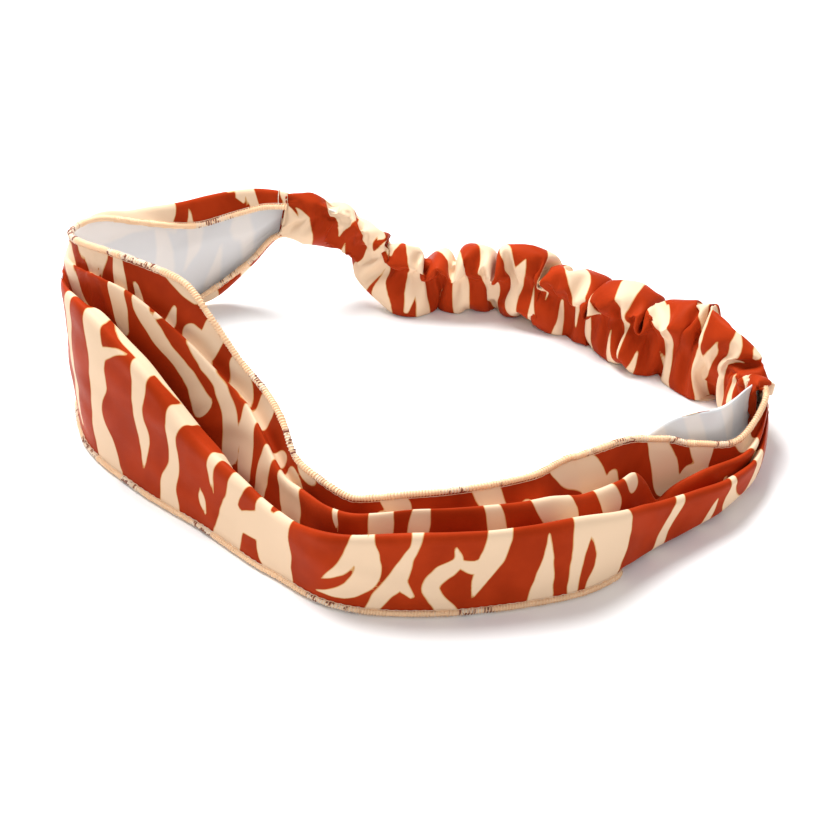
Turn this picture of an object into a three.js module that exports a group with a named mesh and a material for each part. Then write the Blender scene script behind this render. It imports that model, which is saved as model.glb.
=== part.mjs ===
// A soft satin headband lying on its long edge: a wide printed front panel with rolled hems,
// joined at both ends to a narrow gathered casing that hides a flat elastic.
// Units are millimetres, +Z is up, the wearer's head fills the loop.
// Origin: the middle of the footprint, on the surface that the band lies on.
import * as THREE from 'three';

// Driving dimensions
const hemRadius = 0.9; // the rolled, overlocked edge of the panel
const hemSides = 8;
const threadRadius = 0.45; // the tacking thread at the two joins
const threadSteps = 40; // rings along the tacking thread
const tackPasses = 5; // how often that thread crosses the band at each join
const tackReach = 4.6; // how far it goes across
const gap = 0.4; // between neighbouring pieces
const hemStep = 2 * hemRadius + gap; // room for the lower hem under the panel's face
const casingThick = 12; // the gathered tube across its flat
const casingWall = 1.4; // puckered cloth, taken as one thick wall
const elasticWidth = 10;
const elasticThick = 1;
const seamWidth = 1.2;
const seamDepth = 2.6;
const bandSteps = 64; // rings along the front panel and its hems
const casingSteps = 34; // rings along the casing
const casingSides = 16;

const colours = {
  rust: 0xa83a18,
  hemThread: 0xf2c79a,
  elastic: 0xf4f1ea,
  seamThread: 0xd9b394,
};

// The panel from its left join, round the sharp left fold and the front, to its right join.
// foot is where the lower hem lies. The other pairs are [distance into the loop, height]:
// outer is the top of the front pleat, valley the bottom of the fold behind it, inner the top of
// the next pleat, dip the fold behind that, and edge is where the upper hem ends the cloth.
// depth is how far into the loop the cloth reaches at the bottom.
const panelStations = [
  { foot: [-40, 62, 23], outer: [0, 29], valley: [0.4, 32], inner: [0.8, 37], dip: [1.8, 41], edge: [4.2, 37], depth: 4.2 },
  { foot: [-50, 64, 12], outer: [0, 29], valley: [0.4, 32], inner: [0.8, 37], dip: [1.8, 41], edge: [4.6, 33], depth: 4.4 },
  { foot: [-66, 60, 0], outer: [0, 30], valley: [0.4, 34], inner: [0.9, 39], dip: [2, 42], edge: [5, 31], depth: 5 },
  { foot: [-84, 45, 0], outer: [0, 34], valley: [0.5, 38], inner: [1, 42], dip: [2.4, 46], edge: [5.6, 40], depth: 5.4 },
  { foot: [-94, 28, 0], outer: [0, 42], valley: [0.6, 44], inner: [1, 48], dip: [2.2, 52], edge: [5, 49], depth: 5 },
  { foot: [-98, 6, 0], outer: [0, 50], valley: [1, 47], inner: [1.8, 54], dip: [2.8, 53], edge: [4.6, 58], depth: 4.6 },
  { foot: [-92, -18, 0], outer: [2, 51], valley: [4, 40], inner: [7, 55], dip: [9, 53], edge: [12, 61], depth: 11 },
  { foot: [-75, -37, 0], outer: [3, 40], valley: [7, 25], inner: [13, 49], dip: [15, 46], edge: [18, 60], depth: 18 },
  { foot: [-57, -54, 0], outer: [3, 26], valley: [8, 12], inner: [15, 37], dip: [17, 34], edge: [20, 41], depth: 20 },
  { foot: [-47, -64, 0], outer: [3, 23], valley: [7, 11], inner: [12, 30], dip: [14, 27], edge: [17, 36], depth: 17 },
  { foot: [-38, -73, 0], outer: [3, 20], valley: [6, 10], inner: [10, 24], dip: [11, 21], edge: [13, 28], depth: 13 },
  { foot: [-21, -87, 0], outer: [2, 23], valley: [6, 11], inner: [11, 23], dip: [14, 19], edge: [17, 24], depth: 16 },
  { foot: [4, -90, 0], outer: [2, 25], valley: [6, 14], inner: [12, 25], dip: [14.5, 21], edge: [18, 26], depth: 17 },
  { foot: [37, -84, 0], outer: [2, 25], valley: [6, 15], inner: [12, 25], dip: [16, 21], edge: [21, 26], depth: 19 },
  { foot: [53, -75, 0], outer: [2, 21], valley: [6, 12], inner: [12, 22], dip: [17, 19], edge: [22, 26], depth: 19 },
  { foot: [66, -63, 0], outer: [2, 16], valley: [7, 8], inner: [12, 15], dip: [16, 14], edge: [20, 25], depth: 19 },
  { foot: [83, -50, 1], outer: [2, 14], valley: [5, 9], inner: [8, 15], dip: [12, 12], edge: [16, 19], depth: 15 },
  { foot: [94, -36, 3], outer: [2, 11], valley: [3.5, 10], inner: [5, 14], dip: [8, 13], edge: [11, 16], depth: 10 },
  { foot: [99, -19, 5], outer: [1, 12], valley: [1.5, 14], inner: [2, 16], dip: [3.6, 20], edge: [5.4, 21], depth: 5.4 },
];

// The casing's middle line from the left join to the right one, with its height across the flat.
// It leaves the raised left join, twists down to the surface and lies on it to the right.
const casingStations = [
  { at: [-34, 61, 30.5], height: 15 },
  { at: [-25, 63, 26.5], height: 15 },
  { at: [-14, 65, 19.5], height: 16 },
  { at: [-4, 68, 12], height: 17 },
  { at: [8, 64, 9.6], height: 18 },
  { at: [23, 58, 10], height: 20 },
  { at: [38, 51, 11], height: 22 },
  { at: [53, 42, 11], height: 22 },
  { at: [66, 33, 11], height: 22 },
  { at: [79, 23, 11], height: 22 },
  { at: [90, 9, 11], height: 20 },
  { at: [95, -3, 12], height: 18 },
  { at: [96.6, -15, 13], height: 15 },
];

// Where the thread of each join stands: distance into the loop and height of its middle, how far
// beyond the panel's end it is and in which direction, and how tall it is.
const leftJoin = { inset: 2.2, height: 32, beyond: 1.3, direction: [1, 0, 0], tall: 13 };
const rightJoin = { inset: 2.8, height: 13, beyond: 1.6, direction: [0, 1, 0], tall: 11 };

const up = new THREE.Vector3(0, 0, 1);

function smoothLine(points) {
  return new THREE.CatmullRomCurve3(points, false, 'centripetal');
}

// Value at t (0 to 1) along a list of numbers, straight between neighbours so it never overshoots.
function between(values, t) {
  const place = t * (values.length - 1);
  const from = Math.min(Math.floor(place), values.length - 2);
  return THREE.MathUtils.lerp(values[from], values[from + 1], place - from);
}

// The triangles that fill a flat outline, wound the same way as the outline itself.
function fill(outline) {
  const turn = Math.sign(THREE.ShapeUtils.area(outline));
  return THREE.ShapeUtils.triangulateShape(outline, []).map(([a, b, c]) => {
    const own = Math.sign(THREE.ShapeUtils.area([outline[a], outline[b], outline[c]]));
    return own === turn ? [a, b, c] : [a, c, b];
  });
}

// A closed solid through rings of equal length, with both ends capped.
// Each ring is a list of Vector3, and the two outlines are the flat shapes that cap the ends.
function loft(rings, firstOutline, lastOutline) {
  const count = rings[0].length;
  const positions = rings.flat().flatMap((point) => point.toArray());
  const faces = [];
  for (let ring = 0; ring < rings.length - 1; ring += 1) {
    for (let side = 0; side < count; side += 1) {
      const a = ring * count + side;
      const b = ring * count + ((side + 1) % count);
      faces.push([a, b, a + count], [b, b + count, a + count]);
    }
  }
  const last = (rings.length - 1) * count;
  for (const [a, b, c] of fill(firstOutline)) {
    faces.push([c, b, a]);
  }
  for (const [a, b, c] of fill(lastOutline)) {
    faces.push([last + a, last + b, last + c]);
  }
  return solid(positions, faces);
}

// A closed tube wall: outer rings and inner rings joined by a flat rim at both open ends.
function shellLoft(outerRings, innerRings) {
  const count = outerRings[0].length;
  const rings = outerRings.length;
  const positions = [...outerRings, ...innerRings].flat().flatMap((point) => point.toArray());
  const innerStart = rings * count;
  const faces = [];
  for (let side = 0; side < count; side += 1) {
    const next = (side + 1) % count;
    for (let ring = 0; ring < rings - 1; ring += 1) {
      const a = ring * count + side;
      const b = ring * count + next;
      faces.push([a, b, a + count], [b, b + count, a + count]);
      const c = innerStart + a;
      const d = innerStart + b;
      faces.push([c, c + count, d], [d, c + count, d + count]);
    }
    const end = (rings - 1) * count;
    faces.push([side, innerStart + side, next], [next, innerStart + side, innerStart + next]);
    faces.push([end + side, end + next, innerStart + end + side]);
    faces.push([end + next, innerStart + end + next, innerStart + end + side]);
  }
  return solid(positions, faces);
}

// Turns the faces outwards if the enclosed volume comes out negative.
function solid(positions, faces) {
  const corner = (index) => new THREE.Vector3().fromArray(positions, index * 3);
  const volume = faces.reduce((sum, [a, b, c]) => sum + corner(a).dot(corner(b).cross(corner(c))), 0);
  const outward = volume > 0 ? faces : faces.map(([a, b, c]) => [a, c, b]);
  const geometry = new THREE.BufferGeometry();
  geometry.setAttribute('position', new THREE.Float32BufferAttribute(positions, 3));
  geometry.setIndex(outward.flat());
  geometry.computeVertexNormals();
  return geometry;
}

// Everything that a cross-section of the panel needs at t (0 at the left join, 1 at the right).
const panelFoot = smoothLine(panelStations.map(({ foot }) => new THREE.Vector3(...foot)));

function panelSection(t) {
  const at = panelFoot.getPoint(t);
  at.z = Math.max(0, between(panelStations.map(({ foot }) => foot[2]), t));
  const along = panelFoot.getTangent(t).setZ(0).normalize();
  const inward = new THREE.Vector3().crossVectors(up, along).normalize();
  const pair = (name) => [0, 1].map((axis) => between(panelStations.map((s) => s[name][axis]), t));
  return {
    at,
    inward,
    outer: pair('outer'),
    valley: pair('valley'),
    inner: pair('inner'),
    dip: pair('dip'),
    edge: pair('edge'),
    depth: between(panelStations.map((s) => s.depth), t),
  };
}

function placed(section, inset, height) {
  return section.at.clone().addScaledVector(section.inward, inset).setZ(height);
}

// The outline of the folded cloth, in [inset, height], with a step that leaves room for the hem.
function panelOutline(section) {
  const floor = section.at.z;
  const step = hemStep;
  return [
    [0, floor + step],
    section.outer,
    section.valley,
    section.inner,
    section.dip,
    section.edge,
    [section.depth, floor],
    [step, floor],
    [step, floor + step],
  ];
}

const panelSections = Array.from({ length: bandSteps + 1 }, (_, i) => panelSection(i / bandSteps));

// A solid that follows the panel, with outlineOf(section) giving its cross-section as [inset, height].
function alongPanel(outlineOf) {
  const outlines = panelSections.map(outlineOf);
  const rings = panelSections.map((section, i) => (
    outlines[i].map(([inset, height]) => placed(section, inset, height))
  ));
  const flat = (outline) => outline.map(([inset, height]) => new THREE.Vector2(inset, height));
  return loft(rings, flat(outlines[0]), flat(outlines.at(-1)));
}

// The outline of a rolled hem about [inset, height], with one flat side down.
function hemOutline([inset, height]) {
  const corner = hemRadius / Math.cos(Math.PI / hemSides);
  return Array.from({ length: hemSides }, (_, i) => {
    const turn = ((i + 0.5) * 2 * Math.PI) / hemSides;
    return [inset + corner * Math.cos(turn), height + corner * Math.sin(turn)];
  });
}

function lowerHemOutline(section) {
  return hemOutline([hemRadius, section.at.z + hemRadius]);
}

function upperHemOutline({ edge: [inset, height] }) {
  return hemOutline([inset + hemRadius + gap, height - hemRadius]);
}

// The casing: a flattened tube standing on its edge, open at both ends.
const casingLine = smoothLine(casingStations.map(({ at }) => new THREE.Vector3(...at)));

function casingFrame(t) {
  const at = casingLine.getPoint(t);
  const along = casingLine.getTangent(t).normalize();
  const side = new THREE.Vector3().crossVectors(along, up).normalize();
  const rise = new THREE.Vector3().crossVectors(side, along).normalize();
  return { at, side, rise, height: between(casingStations.map(({ height }) => height), t) };
}

function casingRing(t, inset) {
  const { at, side, rise, height } = casingFrame(t);
  return Array.from({ length: casingSides }, (_, i) => {
    const turn = (2 * Math.PI * i) / casingSides;
    const across = (casingThick / 2 - inset) * Math.cos(turn);
    const upward = (height / 2 - inset) * Math.sin(turn);
    return at.clone().addScaledVector(side, across).addScaledVector(rise, upward);
  });
}

function casing() {
  const stops = Array.from({ length: casingSteps + 1 }, (_, i) => i / casingSteps);
  return shellLoft(stops.map((t) => casingRing(t, 0)), stops.map((t) => casingRing(t, casingWall)));
}

// A flat strip inside the casing, its middle shifted by [across, upward] from the casing's own.
function strip(thick, width, shift) {
  const stops = Array.from({ length: casingSteps + 1 }, (_, i) => i / casingSteps);
  const outline = [[-1, -1], [1, -1], [1, 1], [-1, 1]].map(([a, b]) => [
    (a * thick) / 2,
    (b * width) / 2,
  ]);
  const rings = stops.map((t) => {
    const frame = casingFrame(t);
    const [across, upward] = shift(frame);
    return outline.map(([x, y]) => frame.at.clone()
      .addScaledVector(frame.side, across + x)
      .addScaledVector(frame.rise, upward + y));
  });
  const flat = outline.map(([x, y]) => new THREE.Vector2(x, y));
  return loft(rings, flat, flat);
}

function elasticStrip() {
  return strip(elasticThick, elasticWidth, () => [0, 0]);
}

// The raw edges of the casing's lengthwise seam and the thread through them, beside the elastic.
function casingSeam() {
  return strip(seamWidth, seamDepth, () => [-(casingThick / 2 - casingWall) / 2 - gap / 2, 0]);
}

// The zigzag of thread that tacks the casing's end, the panel's pleats and the elastic together.
// It stands between the panel's end and the casing's, and runs across the band as it climbs.
function joinStitching(section, { inset, height, beyond, direction, tall }) {
  const middle = placed(section, inset, height).addScaledVector(new THREE.Vector3(...direction), beyond);
  const turns = Array.from({ length: tackPasses + 1 }, (_, i) => (
    middle.clone()
      .addScaledVector(section.inward, (i % 2 === 0 ? -0.5 : 0.5) * tackReach)
      .setZ(height + (i / tackPasses - 0.5) * tall)
  ));
  const thread = new THREE.Shape();
  thread.absarc(0, 0, threadRadius, 0, 2 * Math.PI);
  return new THREE.ExtrudeGeometry(thread, {
    extrudePath: smoothLine(turns),
    steps: threadSteps,
    curveSegments: 3,
  });
}

function fabric(colour, roughness) {
  return new THREE.MeshStandardMaterial({ color: colour, roughness, metalness: 0 });
}

const satin = fabric(colours.rust, 0.45);
const hemThread = fabric(colours.hemThread, 0.6);
const seamThread = fabric(colours.seamThread, 0.7);

const pieces = [
  ['front_panel', alongPanel(panelOutline), satin],
  ['upper_hem', alongPanel(upperHemOutline), hemThread],
  ['lower_hem', alongPanel(lowerHemOutline), hemThread],
  ['left_join_stitching', joinStitching(panelSections[0], leftJoin), seamThread],
  ['right_join_stitching', joinStitching(panelSections.at(-1), rightJoin), seamThread],
  ['elastic_casing', casing(), satin],
  ['casing_seam', casingSeam(), seamThread],
  ['elastic_strip', elasticStrip(), fabric(colours.elastic, 0.8)],
];

const headband = new THREE.Group();
for (const [name, geometry, material] of pieces) {
  const mesh = new THREE.Mesh(geometry, material);
  mesh.name = name;
  headband.add(mesh);
}

// The origin goes to the middle of the footprint, at the surface.
const box = new THREE.Box3().setFromObject(headband);
const middle = box.getCenter(new THREE.Vector3());
headband.position.set(-middle.x, -middle.y, -box.min.z);

export default headband;
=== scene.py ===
"""Looks of a soft satin headband: a pleated, printed front panel with rolled hems, and a gathered
casing over a flat elastic. Sizes are in millimetres until a mesh is made, and MM turns them to metres."""
import math

import bpy
import numpy as np
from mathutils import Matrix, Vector


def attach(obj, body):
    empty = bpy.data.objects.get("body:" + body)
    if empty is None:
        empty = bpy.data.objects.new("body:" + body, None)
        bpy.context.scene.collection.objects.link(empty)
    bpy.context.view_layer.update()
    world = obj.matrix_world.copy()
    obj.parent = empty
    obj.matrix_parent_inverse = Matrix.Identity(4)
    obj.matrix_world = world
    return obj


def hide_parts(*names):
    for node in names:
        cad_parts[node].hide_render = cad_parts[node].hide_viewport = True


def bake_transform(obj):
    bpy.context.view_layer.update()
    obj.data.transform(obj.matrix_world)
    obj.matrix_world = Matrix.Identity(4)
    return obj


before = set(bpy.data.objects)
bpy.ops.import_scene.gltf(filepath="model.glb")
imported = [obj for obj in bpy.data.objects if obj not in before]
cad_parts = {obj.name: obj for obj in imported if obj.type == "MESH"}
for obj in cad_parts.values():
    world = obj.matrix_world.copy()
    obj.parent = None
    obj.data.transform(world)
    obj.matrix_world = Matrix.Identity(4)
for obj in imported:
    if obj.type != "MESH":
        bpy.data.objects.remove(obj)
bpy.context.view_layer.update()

MM = 0.001

# Driving dimensions, in millimetres
ORIGIN = np.array([-2.3, 8.15, 0.0])  # the zero of the places below, seen from the part's origin
CLOTH = 0.3  # thickness of the satin
HEM_RADIUS = 0.72
HEM_PITCH = 0.8  # one turn of overlock thread
THREAD_RADIUS = 0.14
THREAD_FLAT = 2.3  # how much wider than thick the overlock thread lies
NEEDLE_INSET = 1.1  # from the hem to its line of needle stitches
NEEDLE_RADIUS = 0.08
STITCH = 2.4  # length of one sewn stitch
ELASTIC_WIDTH = 10.0
ELASTIC_THICK = 1.0
SEAM_DEPTH = 2.6  # how far the casing's seam allowance stands into it
WEAVE_DEPTH = 0.03
TWIST_DEPTH = 0.1  # of the plies of a thread
RIB_DEPTH = 0.3  # of the ribs of the elastic

# How the threads are meshed
HEM_SIDES = 12
COIL_SIDES = 5
COIL_STEPS = 8  # in one turn of overlock thread
STITCH_SIDES = 6
STITCH_STEPS = 12  # in one stitch
TIP = 0.02  # the size that a closed tube's two end rings shrink to, as a share

# The front panel from the left join, round the left fold and the front, to the right join. A station
# is (x, y) of the foot of its front face, then pairs of (distance into the loop, height) across the
# cloth: the lower hem, the top of the turned-up lower edge, its heel inside, its turn outside, the
# top of the front pleat, the bottom of the fold behind it, the top of the next pleat, the next fold
# and the upper hem. The ends of the casing are held inside the first and the last station.
PLAIN_FOOT = ((0, 1.2), (0, 2), (0, 2.8), (0, 3.6))
PANEL = [
    ((-38, 63), (1.6, 24.6), (1.5, 24.2), (0.9, 23.8), (0, 24.4),
     (0, 31), (0.2, 34), (0.5, 37.4), (2.2, 39.4), (4.2, 35.4)),
    ((-41.5, 63.3), (2.2, 24.6), (2.0, 23.6), (1.1, 22.8), (0, 23.4),
     (0.1, 30), (0.3, 34), (0.7, 38), (2.2, 40.4), (4.6, 35.6)),
    ((-50, 64), (2.8, 16), (2.6, 14.4), (1.4, 12.8), (0, 14),
     (0.9, 25), (0.3, 31), (0.8, 37), (1.8, 40.6), (4.6, 34)),
    ((-66, 60), (3, 5), (2.8, 2.6), (1.6, 0.8), (0, 2),
     (1.2, 23), (0.3, 31), (0.9, 36), (2.2, 39.4), (5, 31)),
    ((-84, 45), (1.2, 1.6), (0.9, 1.4), (0.4, 1.4), (0, 2.4),
     (0.9, 27), (0.5, 36), (1, 40), (2.4, 44), (5.6, 40)),
    ((-94, 28), *PLAIN_FOOT, (0, 36), (0.4, 40), (0.9, 46), (1.7, 50.4), (3.6, 49.6)),
    ((-98, 6), *PLAIN_FOOT, (0, 44.6), (0.8, 47.2), (1.3, 49.4), (2.5, 51.4), (3.7, 56.6)),
    ((-92, -18), *PLAIN_FOOT, (1.2, 50), (6.4, 26), (8.6, 55), (10.5, 51.5), (12.2, 61)),
    ((-75, -37), *PLAIN_FOOT, (2.2, 41), (9, 10), (13.4, 49), (15, 45), (18, 60)),
    ((-57, -54), *PLAIN_FOOT, (2.2, 27), (9.2, 4), (15, 37), (17, 33), (20, 41)),
    ((-47, -64), *PLAIN_FOOT, (2.8, 24), (7.8, 3.4), (12, 30), (14.2, 26), (17, 36)),
    ((-38, -73), *PLAIN_FOOT, (3, 21), (6.6, 3.2), (10.4, 24), (12.4, 19), (14, 28)),
    ((-21, -87), *PLAIN_FOOT, (2, 24), (6, 3.6), (11, 24), (14, 17), (17, 24)),
    ((4, -90), *PLAIN_FOOT, (2, 26), (6, 4), (12, 26), (14.5, 20), (18, 26)),
    ((37, -84), *PLAIN_FOOT, (2, 26), (6, 4), (12, 26), (16, 19), (21, 26)),
    ((53, -75), *PLAIN_FOOT, (2, 22), (6, 4), (12.2, 21.8), (16.4, 13), (22, 26)),
    ((57.5, -71.4), (10, 1.4), (10, 1.6), (6, 1), (0.8, 1.2),
     (2, 20), (6.2, 3.6), (11.8, 21.4), (16, 12), (21.4, 25.6)),
    ((62, -67.6), (21, 2.6), (21.6, 5.5), (16, 1.4), (1, 1),
     (2, 18.6), (6.4, 3.4), (12, 20.8), (15.6, 12), (20.8, 25.2)),
    ((66.5, -63.8), (21.6, 8), (22.6, 17), (18, 1.8), (1, 1),
     (2, 17.4), (6.4, 3), (13.6, 20.6), (16.4, 12), (20, 25)),
    ((71.5, -60.4), (21.8, 8.5), (22.6, 21.5), (17.8, 1.9), (0.9, 1),
     (2, 16.4), (6.4, 3), (11.4, 6.5), (14.8, 4), (19.3, 23.6)),
    ((76, -57), (22, 9), (22.6, 24.6), (17.5, 2), (0.8, 1),
     (2, 15.5), (6, 3.6), (10.8, 11.4), (14.4, 4.5), (18.5, 22)),
    ((85, -49.6), (20, 9), (20.6, 27.4), (16, 3), (0.8, 1.6),
     (1.6, 13.8), (5, 6), (8, 14.6), (11.5, 7.5), (15.5, 18.2)),
    ((94.6, -37), (15.5, 10), (15, 26), (12.4, 5), (0.8, 3.6),
     (1.2, 11.6), (3.4, 8), (3.6, 13.4), (6, 10.5), (8, 14.5)),
    ((99, -19), (8, 12), (7.4, 22.6), (6.6, 6.6), (0.8, 5.6),
     (0.1, 12), (1.2, 12.2), (0.6, 15.4), (1.7, 15.6), (1.4, 19.5)),
    ((99.8, -11), (3.6, 12), (3, 21.4), (3.4, 8.4), (1, 7.4),
     (0.3, 12), (1.3, 12.6), (0.8, 15), (2.0, 15.4), (2.4, 19.2)),
]
FOLD_ROLL = 1.5  # half the width of the rounded top of a pleat
SHARP_TURN = 3  # a pleat or a fold that is lower than this is only partly rounded
STRAIGHT_STEP = 0.6  # between the points where the cloth doesn't turn back at all
BELLY = 0.7  # how far the front face bulges at half its height

# Where the front pleat has a second, lower ridge behind it, along the cloth, and how long the ridge
# takes to rise and to sink. Its points are (share of the way down the plain wall, in, up), the last
# two from the pleat's top.
TUCK = (112, 186)
TUCK_RISE = 14
TUCK_FALL = 16
TUCK_RIDGE = ((0, 1.2, -0.6), (0.15, 2.4, -0.9), (0.3, 3.7, -0.7), (0.45, 4.9, -2.9))

# How many rows of mesh lie between each two points across the cloth
ROWS = (8, 14, 14, 18, 20, 4, 4, 5, 5, 5, 22, 30, 4, 4, 8, 3, 3, 18)
TURN_ROW = sum(ROWS[:3])
SPACING = 0.9  # between the columns of mesh along the cloth
ACROSS_PASSES = 10  # of smoothing, over the panel's mesh across the cloth
ALONG_PASSES = 8
JOIN_COLUMN = 3  # the column of mesh, from each end of the panel, that its join is sewn along
NEEDLE_ROW = 3  # the row of mesh, from each hem, that the needle stitches stand out from

# The casing's middle line, with its height and its thickness there
CASING = [
    ((-40, 60.5, 31.5), 14.5, 5),
    ((-33, 61.8, 30), 13.5, 7),
    ((-25, 63, 26.5), 13, 8),
    ((-18, 62.5, 22), 14, 9),
    ((-10.6, 60, 16.5), 17, 11),
    ((-2, 58, 12.5), 20, 13),
    ((9, 57.6, 11), 21, 15),
    ((23, 55.5, 11), 22, 16),
    ((38, 50, 11.5), 22, 17),
    ((53, 39, 11.5), 23, 19),
    ((66, 28.5, 12), 24, 20),
    ((76, 20, 12), 24, 20),
    ((85, 9.5, 12), 24, 18),
    ((92, -2, 12), 20, 14),
    ((96.6, -17, 14), 13, 5),
]
CASING_RINGS = 300
CASING_SIDES = 48
CASING_PASSES = 2  # of smoothing, over its mesh
MOUTH_LENGTH = 12.0  # how far the casing is drawn in towards each of its two ends
MOUTH_SHUT = 0.1  # what is left of its thickness at the very end, where it is sewn flat
LOOSE_FROM = (26, 44)  # the casing is nearly smooth before this and fully gathered after it
GATHER = 0.85  # how much longer the casing's cloth is than the elastic, as a share
GATHER_LOW = 0.42  # the same, below the elastic
GATHER_SMOOTH = 0.3  # the same, in the smooth part
GATHER_MOUTH = 0.1  # the same, where the ends are sewn flat
LOWER_HANG = 0.15  # how much deeper the cloth hangs below the elastic than it stands above it
CREASE_RISE = 2.4  # how far above the elastic's middle the cloth is pinched on the inside of the loop
PLUMP = 0.56  # half the casing's size, and a little more for what the puckers take
HELD_ROOM = 1.0  # between the elastic and the cloth where it is pinched
HELD_SHARE = 0.09  # and this share of the casing's thickness more
PUCKER_DEPTH = 0.9
PUCKER_ABOVE = 4.5  # size of a pucker along the elastic, above it
PUCKER_BELOW = 8.0
SIMULATION_SCALE = 20.0  # how much larger the casing is while its cloth moves
SIMULATION_STEPS = 40
ROOM_BESIDE = 0.9  # least room between the elastic and the middle of the cloth
ROOM_OVER = 0.8

# The two cloths laid flat, as (width, length). The panel's is widest in its middle and tapers.
PANEL_CUT = (125.0, 385.0)
CASING_CUT = (64.0, 300.0)

# The print's random strokes, on the cloth that was not drawn by hand
PANEL_SEED = 11
CASING_SEED = 23
STROKE_PITCH = 15  # between two strokes along the cloth
STROKE_START = 40  # how far below the cloth the first stroke of a row may start
STROKE_REACH = (38, 75)
STROKE_BEND = 3.5
FORK_ODDS = 0.6
FORK_HALF = 2.2  # half the width of a fork's branch
FORK_SHARE = 0.4  # its length beside its stroke's
FORK_LEAN = 0.5  # how much more it slopes
CASING_HALVES = (2.8, 5.4)
CASING_LEANS = (-0.45, -0.05)
LEFT_BACK = (102, 33)  # the panel faces away before this place along it and below this one across it
RIGHT_LOBE = (300, -7)  # and after this place along it and below this one across it
STROKE_STEPS = 6  # pieces that a stroke is drawn in, for each of its points
PRINT_REACH = 4.0  # how far from a stroke's edge the print is measured
PRINT_WOBBLE = ((0.45, 6, 0), (0.15, 2.3, 40))  # depth and size of its edge's waves, and their shift

# Colours. On the wrong side the print shows as a faint change of grey.
RUST = (0.40, 0.036, 0.007)
RUST_DEEP = (0.32, 0.027, 0.005)
CREAM = (0.80, 0.585, 0.40)
OCHRE = (0.62, 0.33, 0.12)
WRONG_CREAM = (0.82, 0.77, 0.73)
WRONG_RUST = (0.72, 0.71, 0.71)
HEM_THREAD = (0.90, 0.60, 0.36)
PALE_THREAD = (0.82, 0.66, 0.50)
# partly the rust print, partly painted shade: the colour of the gaps between the overlock wraps
SHADED_GAP_RUST = (0.22, 0.055, 0.025)
ELASTIC_WHITE = (0.80, 0.78, 0.74)
# painted shade: the darker grey of the grooves between the elastic's ribs
ELASTIC_GROOVE_SHADE = (0.62, 0.60, 0.57)
PAPER_WHITE = (0.95, 0.95, 0.95)
PAPER_GREY = (0.93, 0.93, 0.93)
SATIN_TINT = (1.0, 0.40, 0.20)  # of its highlights
SHEEN_TINT = (1.0, 0.30, 0.10)

# Scales of the materials' patterns, for each metre
WEAVE_SCALE = 1400.0
RIPPLE_SCALE = 260.0
SHINE_SCALE = 140.0
TINT_SCALE = 90.0
PLY_SCALE = 3500.0
SHADE_SCALE = 400.0
TICK_SCALE = 650.0
PATCH_SCALE = 45.0
RIB_SCALE = 160.0
GRAIN_SCALE = 300.0
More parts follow.
